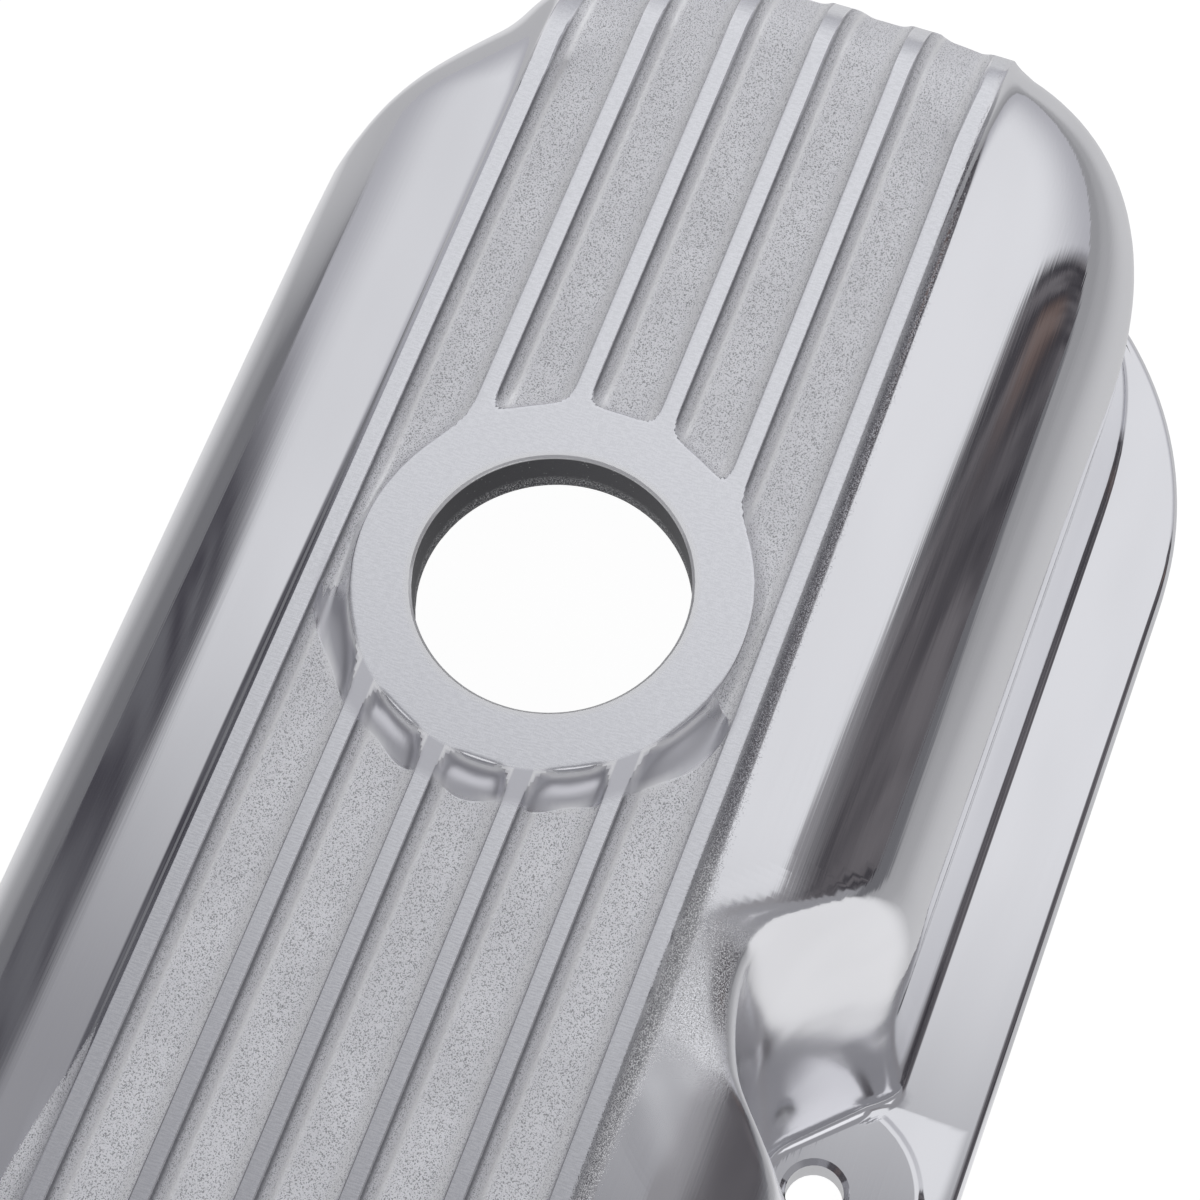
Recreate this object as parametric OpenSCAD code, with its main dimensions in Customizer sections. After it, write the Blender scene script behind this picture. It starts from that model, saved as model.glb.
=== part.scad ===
// Cast aluminium engine valve cover: a finned, hand-polished rocker box with a breather bore,
// five bolt pockets scooped into its rounded shoulders and a flat gasket flange.
// Frame: X along the cover, Y across it, Z up. The origin is at the middle of the gasket face.

/* [Overall size] */
// Length of the gasket flange
cover_length = 445; // [430:1:470]
// Height from the gasket face to the fin tops
cover_height = 56; // [54:0.5:62]

/* [Flange] */
// Thickness of the flange plate
flange_thickness = 4; // [3.6:0.1:5]
// Reach of the flange beyond the body's widest line on the bolt side (-Y)
flange_rail_right = 12.8; // [12:0.1:14]
// Reach of the flange beyond the body's widest line on the other side (+Y)
flange_rail_left = 7.5; // [7.2:0.1:8.5]
// Rounding of the flange's upper edge
flange_edge_radius = 1.5; // [0.8:0.1:2]
// Corner radius of the flange on the bolt side (-Y)
flange_corner_right = 51; // [46:0.5:54]
// Corner radius of the flange on the other side (+Y)
flange_corner_left = 28; // [25:0.5:30]

/* [Body] */
// Half width of the body at the foot of its shoulders
body_half_width = 51; // [48:0.5:54]
// Half width of the nearly flat top between the shoulders
crown_half_width = 27; // [26.6:0.1:27.4]
// How far the shoulder starts below the fin tops
shoulder_drop = 1.8; // [1.5:0.1:2.2]
// Radius of the roll over both ends
end_roll_radius = 14; // [12:0.5:16]
// Distance of the end walls inside the flange ends
end_wall_inset = 5.1; // [4.6:0.1:6]
// Depth of the thin crease in the side walls below the fin tops
crease_depth = 37.5; // [35:0.5:40]
// How far the walls tuck in down to the crease
wall_tuck = 0.6; // [0.2:0.1:1]
// How far the skirt flares out from the crease to the flange
skirt_flare = 2.4; // [1.6:0.1:2.8]
// Size of the fillet at the foot of the skirt
foot_fillet = 1; // [0.6:0.1:1.4]

/* [Plan corners] */
// Length of the curved corners along the cover
corner_run = 41; // [38:0.5:43]
// Start of the right corner curves from the body's middle line
corner_start_right = 10.8; // [8:0.2:13]
// Start of the left corner curves beyond the body's middle line
corner_start_left = 5; // [3:0.2:7]
// Squareness of the right corner curves
corner_power_right = 3; // [2.6:0.1:3.4]
// Squareness of the left corner curves
corner_power_left = 2.6; // [2.3:0.1:2.9]

/* [Walls] */
// Thickness of the side and end walls
wall_thickness = 4; // [3.4:0.1:4.6]
// Thickness of the roof under the grooves
roof_thickness = 4.3; // [3.8:0.1:5]

/* [Fins] */
// Number of fins
fin_count = 6; // [6:1:6]
// Distance between fin middles
fin_pitch = 10.37; // [10.2:0.01:10.5]
// Width of a fin
fin_width = 2; // [1.6:0.1:2.4]
// Depth of the grooves between the fins
groove_depth = 2.7; // [2.3:0.1:3]
// Radius of the fillets along the groove floors
groove_fillet = 2.6; // [1.8:0.1:3]
// Distance of the fin tips inside the end walls
fin_tip_inset = 1.2; // [0.9:0.1:1.6]
// Growth of the fins' end roll towards the outermost left fin
fin_roll_growth = 5; // [3:0.5:6]

/* [Breather bore] */
// Radius of the bore
bore_radius = 15.9; // [14:0.1:17]
// Outer radius of the flat ring around the bore
ring_radius = 22.9; // [21:0.1:23.4]
// Position of the bore along the cover
bore_x = 125; // [110:0.5:135]
// Chamfer at the mouth of the bore
bore_chamfer = 0.8; // [0.4:0.1:1.2]

/* [Bolts and pockets] */
// Radius of the bolt holes
bolt_hole_radius = 3.5; // [3.1:0.1:4]
// Chamfer at the bolt holes
bolt_hole_chamfer = 0.7; // [0.4:0.1:1]
// Spacing of the two bolts on the right side
bolt_spacing_right = 165; // [158:0.5:172]
// Spacing of the two outer bolts on the left side
bolt_spacing_left = 411; // [409:0.5:413]
// Distance of the right bolts inside the body's widest line
bolt_inset_right = 3.7; // [3:0.1:4.4]
// Distance of the left bolts inside the body's widest line
bolt_inset_left = 7.5; // [7:0.1:8]
// Radius of a pocket at its floor
pocket_radius = 6.8; // [6.4:0.1:7.4]
// How much wider a pocket is below its mouth
pocket_draft = 2; // [1.4:0.1:3]
// Further widening of the right pockets on the side towards the cover's end
pocket_lean = 8.6; // [6:0.1:9.6]
// Start of that widening on the other side of the bolt
lean_start = 10; // [8:0.5:12]
// End of that widening beyond the bolt
lean_end = 16; // [14:0.5:18]
// How late that widening sets in
lean_power = 1.6; // [1.3:0.1:2]
// Height of the rolled mouth of the right pockets
mouth_height_right = 5; // [4:0.2:7]
// How much wider the right pockets' rim is on the side towards the cover's end
rim_lean = 2.7; // [1:0.1:3]
// Height of the rolled mouth of the left pockets
mouth_height_left = 16; // [13:0.5:18]
// Rim radius of the left pockets
rim_radius_left = 26; // [23:0.5:28]
// Half of the angle between the walls of a side pocket
pocket_angle = 45; // [40:1:50]
// Half of the angle between the walls of a corner pocket
corner_pocket_angle = 78; // [72:1:80]
// Direction in which a corner pocket opens
corner_pocket_turn = 62; // [56:1:66]
// Softness of the right pockets' sides in the shoulders
mouth_blend_right = 3.5; // [2.5:0.5:5]
// Softness of the left pockets' sides in the shoulders
mouth_blend_left = 8; // [6:0.5:10]
// Softness of the pocket sides in the skirt
skirt_blend = 1.3; // [1:0.1:2]
// Radius of the bolt seats
seat_radius = 12.1; // [11.4:0.1:12.4]
// Height of the bolt seats above the flange
seat_height = 0.8; // [0.4:0.1:1]
// Width of the slope around the bolt seats
seat_slope = 1.2; // [0.6:0.1:1.6]

/* [Hidden] */
overlap = 1.2;
half_length = cover_length / 2;
cover_width = 2 * body_half_width + flange_rail_right + flange_rail_left;
half_width = cover_width / 2;
body_shift = (flange_rail_right - flange_rail_left) / 2;
bolt_offset_right = body_half_width - bolt_inset_right;
bolt_offset_left = body_half_width - bolt_inset_left;
floor_z = cover_height - groove_depth;
shoulder_top = cover_height - shoulder_drop;
shoulder_radius = body_half_width - crown_half_width;
shoulder_foot = shoulder_top - shoulder_radius;
roll_foot = floor_z - end_roll_radius;
end_wall_x = half_length - end_wall_inset;
crown_half_length = end_wall_x - end_roll_radius;
corner_x = end_wall_x - corner_run;
crease_z = cover_height - crease_depth;
seat_z = flange_thickness + seat_height;
foot_z = seat_z + foot_fillet;
roof_z = floor_z - roof_thickness;
rim_radius_right = bolt_offset_right - crown_half_width;
bolt_right_x = bolt_spacing_right / 2;
bolt_outer_x = bolt_spacing_left / 2;
bolt_right_y = body_shift - bolt_offset_right;
bolt_left_y = body_shift + bolt_offset_left;
bore_y = body_shift;
outer_fin_y = (fin_count - 1) * fin_pitch / 2;
crown_margin = 2.4;
shoulder_step = 10;
cavity_step = 18;
corner_step_right = 9;
corner_step_left = 6;
pocket_steps = [3, 6, 9, 12, 16, 21, 30];
blend_rise = 8;
blend_fade = 12;
blend_least = 0.02;
end_flare_share = 0.3;
skirt_power = 1.3;
sliver = 0.1;
$fn = 96;

// Smaller of two values with a soft change from one to the other over the width k.
function soft_min(a, b, k) = min(a, b) - pow(max(k - abs(a - b), 0), 2) / (4 * k);

// Plan line of a pocket wall: a round end of radius r and two walls that open outward at the half angle h.
function pocket_line(u, r, h) = abs(u) < r * cos(h) ? -sqrt(r * r - u * u) : abs(u) / tan(h) - r / sin(h);

// Radius of a pocket at height z: a cone that gets wider by the draft t up to the mouth's foot, then a quarter
// ellipse of the height m out to the rim radius r.
function pocket_wall(z, m, t) = pocket_radius + t * min((z - seat_z) / (shoulder_top - m - seat_z), 1);
function mouth_rise(z, m) = min(max(z - shoulder_top + m, 0) / m, 1);
function pocket_r(z, m, t, r) =
    pocket_wall(z, m, t) + (r - pocket_radius - t) * (1 - sqrt(1 - pow(mouth_rise(z, m), 2)));

// Share of the wider form at the place u along the cover, from 0 at the start of the lean to 1 at its end.
function lean_share(u) = let (t = min(max((u + lean_start) / (lean_start + lean_end), 0), 1))
    pow(t * t * (3 - 2 * t), lean_power);

// A pocket form is [mouth height, draft, rim radius, further draft, further rim radius, softness].
form_right = [mouth_height_right, pocket_draft, rim_radius_right, pocket_lean, rim_lean, mouth_blend_right];
form_left = [mouth_height_left, pocket_draft, rim_radius_left, 0, 0, mouth_blend_left];
function form_r(z, u, f) =
    pocket_r(z, f[0], f[1] + f[3] * lean_share(u), f[2] + f[4] * lean_share(u));

// Softness of a pocket's sides at height z: it changes at the crease and ends at the crown.
function blend_low(z, k) = skirt_blend + (k - skirt_blend) * min(max((z - crease_z) / blend_rise + 0.5, 0), 1);
function blend_k(z, k) = blend_low(z, k) * min(max((shoulder_top - z) / blend_fade, blend_least), 1);

// Room between a point and the crown's side line, measured in the direction a. The skin keeps outside that line.
function crown_room(p, a) = max(abs(p[1] - body_shift) - crown_half_width, 0) / abs(sin(a));

// Moves the point p inward where the pocket at b, open towards the direction a, takes it away.
// The pocket has the form f and is grown by g and sunk by g.
function bite(p, b, a, h, f, g) =
    let (d = [cos(a), sin(a)], q = [p[0] - b[0], p[1] - b[1]])
    let (v = q * d, u = q * [-d[1], d[0]])
    let (limit = pocket_line(u, form_r(p[2] + g, u, f) + g, h))
    let (move = soft_min(v, limit, blend_k(p[2], f[5])) - v)
    p + (g > 0 ? move : max(move, -crown_room(p, a))) * [d[0], d[1], 0];

// The three pockets of one half of the cover.
function bite_right(p, g) = bite(p, [bolt_right_x, bolt_right_y], -90, pocket_angle, form_right, g);
function bite_middle(p, g) = bite(p, [0, bolt_left_y], 90, pocket_angle, form_left, g);
function bite_corner(p, g) =
    bite(p, [bolt_outer_x, bolt_left_y], corner_pocket_turn, corner_pocket_angle, form_left, g);
function with_pockets(p, g) = bite_corner(bite_middle(bite_right(p, g), g), g);

// A level is one plan outline: [side height, end height, right side, left side, end,
// right corner [x, y, squareness], left corner [x, y, squareness], pocket growth or undef for no pockets].
function body_level(zs, y, ze, x, g) = [zs, ze, body_shift - y, body_shift + y, x,
    [corner_x, body_shift - corner_start_right, corner_power_right],
    [corner_x, body_shift - corner_start_left, corner_power_left], g];
function flange_level(z, m) = [z, z, m - half_width, half_width - m, half_length - m,
    [half_length - flange_corner_right, flange_corner_right - half_width, 2],
    [half_length - flange_corner_left, half_width - flange_corner_left, 2], undef];

// One half of a ring of points runs along the right side, round both corners and back along the left side.
function curve(t, n) = pow(t, 2 / n);
function corner_point(l, c, y, t) = [c[0] + (l[4] - c[0]) * curve(sin(t), c[2]),
    c[1] + (y - c[1]) * curve(cos(t), c[2]), l[0] + (l[1] - l[0]) * pow(sin(t), 2)];
function around_bolt() = concat([for (i = [len(pocket_steps) - 1:-1:0]) -pocket_steps[i]], [0], pocket_steps);
function right_side(l) = concat([[0, l[2], l[0]]], [for (s = around_bolt()) [bolt_right_x + s, l[2], l[0]]]);
function right_corner(l) = [for (t = [0:corner_step_right:90]) corner_point(l, l[5], l[2], t)];
function left_corner(l) = [for (t = [90:-corner_step_left:0]) corner_point(l, l[6], l[3], t)];
function left_side(l) = [for (i = [len(pocket_steps) - 1:-1:0]) [pocket_steps[i], l[3], l[0]]];
function half_ring(l) = concat(right_side(l), right_corner(l), left_corner(l), left_side(l), [[0, l[3], l[0]]]);
function shaped_half(l) = [for (p = half_ring(l)) l[7] == undef ? p : with_pockets(p, l[7])];
function ring(l) = let (h = shaped_half(l))
    concat(h, [for (i = [len(h) - 2:-1:1]) [-h[i][0], h[i][1], h[i][2]]]);

// Levels of the outer skin: flange, foot fillet, flared skirt, wall, shoulder and crown under the fins.
skirt_y = body_half_width - wall_tuck + skirt_flare;
end_flare = skirt_flare * end_flare_share;
skirt_x = end_wall_x + end_flare;
function level_foot(t) = let (out = foot_fillet * (1 - cos(t)))
    let (z = foot_z - (foot_z - flange_thickness) * sin(t)) body_level(z, skirt_y + out, z, skirt_x + out, -out);
function level_skirt(f) = let (z = crease_z + (foot_z - crease_z) * f)
    body_level(z, body_half_width - wall_tuck + skirt_flare * pow(f, skirt_power), z, end_wall_x + end_flare * f, 0);
function level_wall(f) = body_level(shoulder_foot + (crease_z - shoulder_foot) * f,
    body_half_width - wall_tuck * f * f, roll_foot + (crease_z - roll_foot) * f, end_wall_x, 0);
function level_shoulder(a) = body_level(shoulder_foot + shoulder_radius * cos(a),
    crown_half_width + shoulder_radius * sin(a), roll_foot + end_roll_radius * cos(a),
    crown_half_length + end_roll_radius * sin(a), 0);
function level_edge(t) = flange_level(flange_thickness - flange_edge_radius * (1 - cos(t)),
    flange_edge_radius * (1 - sin(t)));
outer_levels = concat(
    [flange_level(0, 0)],
    [for (t = [90:-30:0]) level_edge(t)],
    [for (t = [90:-45:0]) level_foot(t)],
    [for (f = [0.6, 0.25]) level_skirt(f)],
    [for (f = [1, 0.8, 0.4]) level_wall(f)],
    [for (a = [90:-shoulder_step:0]) level_shoulder(a)],
    [body_level(floor_z, crown_half_width - crown_margin, floor_z, crown_half_length - crown_margin, 0)]);

// Levels of the cavity, one wall thickness inside the outer skin and open at the gasket face.
function cavity_foot(z) = body_level(z, skirt_y - wall_thickness, z, skirt_x - wall_thickness, wall_thickness);
function cavity_shoulder(a) = body_level(shoulder_foot + (roof_z - shoulder_foot) * cos(a),
    crown_half_width + (shoulder_radius - wall_thickness) * sin(a), roll_foot + (roof_z - roll_foot) * cos(a),
    crown_half_length + (end_roll_radius - wall_thickness) * sin(a), wall_thickness);
cavity_levels = concat(
    [cavity_foot(-overlap), cavity_foot(foot_z)],
    [body_level(crease_z, body_half_width - wall_tuck - wall_thickness, crease_z,
        end_wall_x - wall_thickness, wall_thickness)],
    [for (a = [90:-cavity_step:0]) cavity_shoulder(a)]);

// The flat caps are fans round five hubs on the body's middle line.
hub_x = [-corner_x, -bolt_right_x, 0, bolt_right_x, corner_x];
corner_count = round(90 / corner_step_right) + round(90 / corner_step_left) + 1;
half_hubs = concat([2], [for (s = around_bolt()) 3], [for (i = [1:corner_count]) 4], [3],
    [for (s = pocket_steps) 2]);
hubs = concat(half_hubs, [for (i = [len(half_hubs) - 1:-1:0]) 4 - half_hubs[i]]);

// Closed solid through a stack of rings with equal numbers of points.
module loft(levels) {
    rings = [for (l = levels) ring(l)];
    count = len(rings[0]);
    top = (len(levels) - 1) * count;
    low_hub = len(levels) * count;
    high_hub = low_hub + len(hub_x);
    low_z = rings[0][0][2];
    high_z = rings[len(levels) - 1][0][2];
    points = concat([for (r = rings) each r], [for (x = hub_x) [x, body_shift, low_z]],
        [for (x = hub_x) [x, body_shift, high_z]]);
    walls = [for (i = [0:len(levels) - 2]) for (j = [0:count - 1])
        let (a = i * count + j, b = i * count + (j + 1) % count)
        each [[a, a + count, b + count], [a, b + count, b]]];
    fans = [for (j = [0:count - 1]) [hubs[j], j, (j + 1) % count]];
    bridges = [for (j = [0:count - 1]) let (h = hubs[(j + count - 1) % count]) if (h != hubs[j]) [j, hubs[j], h]];
    low = concat([for (f = fans) [low_hub + f[0], f[1], f[2]]],
        [for (b = bridges) [b[0], low_hub + b[1], low_hub + b[2]]]);
    high = concat([for (f = fans) [high_hub + f[0], top + f[2], top + f[1]]],
        [for (b = bridges) [top + b[0], high_hub + b[2], high_hub + b[1]]]);
    polyhedron(points = points, faces = concat(low, walls, high), convexity = 8);
}

// Section of a fin with the fillets at its foot. The fin top is at height h of the section.
module fin_section(h) {
    base = roof_thickness - overlap;
    translate([-fin_width / 2, h - groove_depth - base / 2]) square([fin_width, groove_depth + base / 2]);
    difference() {
        translate([-fin_width / 2 - groove_fillet, h - groove_depth - base / 2])
            square([fin_width + 2 * groove_fillet, base / 2 + groove_fillet - sliver]);
        for (s = [-1, 1])
            translate([s * (fin_width / 2 + groove_fillet), h - groove_depth - sliver + groove_fillet])
                circle(r = groove_fillet);
    }
}

// Half length of the body at the distance y from its middle line.
function end_share_right(y) = pow(max(-y - corner_start_right, 0) / (body_half_width - corner_start_right),
    corner_power_right);
function end_share_left(y) = pow(max(y + corner_start_left, 0) / (body_half_width + corner_start_left),
    corner_power_left);
function end_reach(y) = corner_x + corner_run * (y < 0
    ? pow(1 - end_share_right(y), 1 / corner_power_right) : pow(1 - end_share_left(y), 1 / corner_power_left));

function fin_roll(y) = end_roll_radius + fin_roll_growth * pow(max(y + corner_start_left, 0) / outer_fin_y, 2);

// One fin, rolled over both ends of the body.
module fin(y) {
    roll = fin_roll(y);
    straight = end_reach(y) - fin_tip_inset - roll;
    translate([0, body_shift + y, 0]) {
        rotate([90, 0, 90]) linear_extrude(height = 2 * straight, center = true) fin_section(cover_height);
        for (s = [0, 1])
            mirror([s, 0, 0]) translate([straight, 0, cover_height - roll]) rotate([90, 0, 0])
                rotate_extrude(angle = 90) rotate([0, 0, -90]) fin_section(roll);
    }
}

// Flat ring around the bore with a fillet down to the groove floors.
module breather_ring() {
    translate([bore_x, bore_y, 0]) rotate_extrude($fn = 128) difference() {
        translate([0, roof_z + overlap]) square([ring_radius + groove_fillet, cover_height - roof_z - overlap]);
        translate([ring_radius + groove_fillet, floor_z + groove_fillet - sliver]) circle(r = groove_fillet);
        translate([ring_radius, floor_z + groove_fillet - sliver]) square([2 * groove_fillet, 2 * groove_fillet]);
    }
}

module breather_bore() {
    translate([bore_x, bore_y, 0]) {
        translate([0, 0, shoulder_foot]) cylinder(r = bore_radius, h = cover_height, $fn = 128);
        translate([0, 0, cover_height - bore_chamfer])
            cylinder(r1 = bore_radius, r2 = bore_radius + bore_chamfer + overlap, h = bore_chamfer + overlap);
    }
}

// Round seat for a bolt head with a sloping edge.
module bolt_seat() {
    rotate_extrude() polygon([[0, flange_thickness / 2], [seat_radius + seat_slope, flange_thickness / 2],
        [seat_radius + seat_slope, flange_thickness], [seat_radius, seat_z], [0, seat_z]]);
}

// The seats of the corner bolts stay inside the rounded edge of the flange corners.
module bolt_seats() {
    for (s = [-1, 1]) {
        translate([s * bolt_right_x, bolt_right_y, 0]) bolt_seat();
        intersection() {
            translate([s * bolt_outer_x, bolt_left_y, 0]) bolt_seat();
            translate([s * (half_length - flange_corner_left), half_width - flange_corner_left, 0])
                cylinder(r = flange_corner_left - flange_edge_radius - sliver, h = 2 * seat_z);
        }
    }
    translate([0, bolt_left_y, 0]) bolt_seat();
}

module bolt_hole() {
    rotate_extrude() polygon([[0, -overlap], [bolt_hole_radius, -overlap],
        [bolt_hole_radius, seat_z - bolt_hole_chamfer],
        [bolt_hole_radius + bolt_hole_chamfer + overlap, seat_z + overlap], [0, seat_z + overlap]]);
}

module bolt_holes() {
    for (s = [-1, 1]) translate([s * bolt_right_x, bolt_right_y, 0]) bolt_hole();
    for (s = [-1, 0, 1]) translate([s * bolt_outer_x, bolt_left_y, 0]) bolt_hole();
}

module cover_casting() {
    color([0.72, 0.73, 0.76]) difference() {
        union() {
            loft(outer_levels);
            bolt_seats();
            for (i = [0:fin_count - 1]) fin((i - (fin_count - 1) / 2) * fin_pitch);
            breather_ring();
        }
        loft(cavity_levels);
        breather_bore();
        bolt_holes();
    }
}

cover_casting();
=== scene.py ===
"""Looks of the cast aluminium engine valve cover: a fine mesh of the casting, its finishes and a studio."""

import math

import bpy
import numpy as np
from mathutils import Matrix, Vector


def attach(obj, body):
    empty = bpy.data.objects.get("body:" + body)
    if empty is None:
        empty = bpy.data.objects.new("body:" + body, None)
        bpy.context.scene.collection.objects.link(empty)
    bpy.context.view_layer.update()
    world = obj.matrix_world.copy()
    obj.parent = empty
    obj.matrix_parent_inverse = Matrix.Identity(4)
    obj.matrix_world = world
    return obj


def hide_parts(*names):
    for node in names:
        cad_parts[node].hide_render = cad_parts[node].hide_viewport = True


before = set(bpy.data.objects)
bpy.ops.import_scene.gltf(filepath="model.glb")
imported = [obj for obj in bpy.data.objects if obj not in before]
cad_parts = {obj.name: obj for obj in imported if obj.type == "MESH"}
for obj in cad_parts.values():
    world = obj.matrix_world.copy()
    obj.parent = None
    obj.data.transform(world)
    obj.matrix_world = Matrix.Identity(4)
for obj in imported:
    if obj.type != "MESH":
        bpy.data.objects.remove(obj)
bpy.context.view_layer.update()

MM = 0.001

# sizes in mm, the same as in the part's source, but for the bore's chamfer, which is as fine as in the photo;
# R and L in a name stand for the right side (-Y) and the left side (+Y)
LENGTH, WIDTH, TOP = 445.0, 122.3, 56.0
FLANGE_T, FLANGE_R = 4.0, 1.5
CORNER_R, CORNER_L = 51.0, 28.0
SHIFT = 2.65
BODY_Y, CROWN_Y, DROP, ROLL = 51.0, 27.0, 1.8, 14.0
INSET, CREASE, TUCK, FLARE, FOOT = 5.1, 37.5, 0.6, 2.4, 1.0
RUN, START_R, START_L, POWER_R, POWER_L = 41.0, 10.8, 5.0, 3.0, 2.6
WALL, ROOF = 4.0, 4.3
PITCH, FIN_W, GROOVE, FILLET, TIP_INSET, ROLL_GROWTH = 10.37, 2.0, 2.7, 2.6, 1.2, 5.0
BORE_R, RING_R, BORE_X, CHAMFER = 15.9, 22.9, 125.0, 0.3
HOLE_R, HOLE_CH = 3.5, 0.7
BOLT_RX, BOLT_LX = 82.5, 205.5
BOLT_RY, BOLT_LY = SHIFT - 47.3, SHIFT + 43.5
POCKET_R, POCKET_DRAFT, LEAN_START, LEAN_END, LEAN_POWER = 6.8, 2.0, 10.0, 16.0, 1.6
SEAT_R, SEAT_H, SEAT_SLOPE = 12.1, 0.8, 1.2
BLEND_LOW = 1.3

HL, HW = LENGTH / 2, WIDTH / 2
FLOOR_Z = TOP - GROOVE
SH_TOP = TOP - DROP
SH_R = BODY_Y - CROWN_Y
SH_FOOT = SH_TOP - SH_R
ROLL_FOOT = FLOOR_Z - ROLL
END_X = HL - INSET
CROWN_X = END_X - ROLL
CX = END_X - RUN
CREASE_Z = TOP - CREASE
ROOF_Z = FLOOR_Z - ROOF
SKIRT_Y = BODY_Y - TUCK + FLARE
SKIRT_X = END_X + FLARE * 0.3
# form of a pocket: height of its mouth, rim radius, lean of wall and rim towards the cover's end, blend width
FORM_R = (5.0, 47.3 - CROWN_Y, 8.6, 2.7, 3.5)
FORM_L = (16.0, 26.0, 0.0, 0.0, 8.0)
SEAT_Z = FLANGE_T + SEAT_H
FINS = (np.arange(6) - 2.5) * PITCH
# bolts on the +X half: place, direction and half angle of the pocket, its form
HALF_BOLTS = [(BOLT_RX, BOLT_RY, -90.0, 45.0, FORM_R), (0.0, BOLT_LY, 90.0, 45.0, FORM_L),
              (BOLT_LX, BOLT_LY, 62.0, 78.0, FORM_L)]
BOLTS = [(x, y) for bx, y, *_ in HALF_BOLTS for x in sorted({bx, -bx})]


def soft_min(a, b, k):
    """min(a, b) - max(k - |a - b|, 0)^2 / 4k: the smaller value with a soft change over the width k."""
    return np.minimum(a, b) - np.maximum(k - np.abs(a - b), 0) ** 2 / (4 * k)


def pocket_radius(z, u, form):
    """Pocket radius at height z and place u along the cover: a cone plus a quarter-ellipse mouth of height m,
    wall + (rim - foot) (1 - sqrt(1 - rise^2)), both wider towards the cover's end by a smooth share of u."""
    m, rim, lean, rim_lean, _ = form
    t = np.clip((u + LEAN_START) / (LEAN_START + LEAN_END), 0, 1)
    t = (t * t * (3 - 2 * t)) ** LEAN_POWER
    draft = POCKET_DRAFT + lean * t
    rim = rim + rim_lean * t
    cone = POCKET_R + draft * np.minimum((z - SEAT_Z) / (SH_TOP - m - SEAT_Z), 1)
    rise = np.clip((z - SH_TOP + m) / m, 0, 1)
    return cone + (rim - POCKET_R - draft) * (1 - np.sqrt(1 - rise ** 2))


def bite(p, grow):
    """Moves skin points inward out of the bolt pockets of the +X half. In a pocket's own plan directions u
    and v the limit is a circle of radius r that opens in two straight walls, v = |u| / tan(h) - r / sin(h).
    The skin keeps outside the crown's side line."""
    p = p.copy()
    z = p[..., 2]
    rise = np.clip((z - CREASE_Z) / 8 + 0.5, 0, 1)
    for bx, by, turn, half, form in HALF_BOLTS:
        k = (BLEND_LOW + (form[4] - BLEND_LOW) * rise) * np.clip((SH_TOP - z) / 12, 0.02, 1)
        d = np.array([math.cos(math.radians(turn)), math.sin(math.radians(turn))])
        h = math.radians(half)
        q = p[..., :2] - (bx, by)
        v = q @ d
        u = q @ np.array([-d[1], d[0]])
        r = pocket_radius(z + grow, u, form) + grow
        inside = np.abs(u) < r * math.cos(h)
        circle = -np.sqrt(np.maximum(r * r - u * u, 0))
        line = np.where(inside, circle, np.abs(u) / math.tan(h) - r / math.sin(h))
        near = np.abs(u) < 60
        move = np.where(near, soft_min(v, line, k) - v, 0)
        move = np.maximum(move, -np.maximum(np.abs(p[..., 1] - SHIFT) - CROWN_Y, 0) / abs(d[1]))
        p[..., 0] += move * d[0]
        p[..., 1] += move * d[1]
    return p


def seat(x, y):
    """Height of the bolt seats above the flange: SEAT_H inside SEAT_R, then a straight slope down."""
    h = np.zeros_like(x)
    for b in BOLTS:
        r = np.hypot(x - b[0], y - b[1])
        h = np.maximum(h, SEAT_H * np.clip((SEAT_R + SEAT_SLOPE - r) / SEAT_SLOPE, 0, 1))
    return h


# stations round a ring, closer together near a bolt and near the fins' sides
def joined(*parts):
    """The values of all parts in rising order, each once."""
    return np.unique(np.round(np.concatenate(parts), 6))


NEAR_BOLT, CLOSE_BOLT, SIDE_END = 36, 20, CX - 8
beside_bolt = np.linspace(CLOSE_BOLT, NEAR_BOLT, 9)
around = joined(-beside_bolt, np.linspace(-CLOSE_BOLT, CLOSE_BOLT, 45), beside_bolt)
before_bolt = np.linspace(0, BOLT_RX - NEAR_BOLT, 7)
XS_RIGHT = joined(before_bolt, BOLT_RX + around, np.linspace(BOLT_RX + NEAR_BOLT, SIDE_END, 6))
XS_LEFT = joined(around[around >= 0], np.linspace(NEAR_BOLT, SIDE_END, 14))
half_pitch = np.array([0, 0.5, 0.75, 0.9, 1.0, 1.03, 1.1, 1.25, 1.5, 1.9, 2.4, 3.0, 3.6, 4.4, PITCH / 2])
edge_rows = (CROWN_Y, 26.96, 22.3, 22.6, 22.76, 22.86, RING_R, 22.93, 23.0, 23.2)
YS = [f + s * half_pitch for f in FINS for s in (-1, 1)] + [[s * v for s in (-1, 1) for v in edge_rows]]
YS = joined(*YS)
YS = YS[np.abs(YS) <= CROWN_Y]
YS = YS[np.concatenate([[True], np.diff(YS) > 0.012])]
# number of points in the right and left corners, on the right side and along the end
N_CR, N_CL = 34, 54
KA, M = len(XS_RIGHT), len(YS)
# a half ring is: right side, right corner without its ends, the end's y lines, left corner, left side


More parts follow.
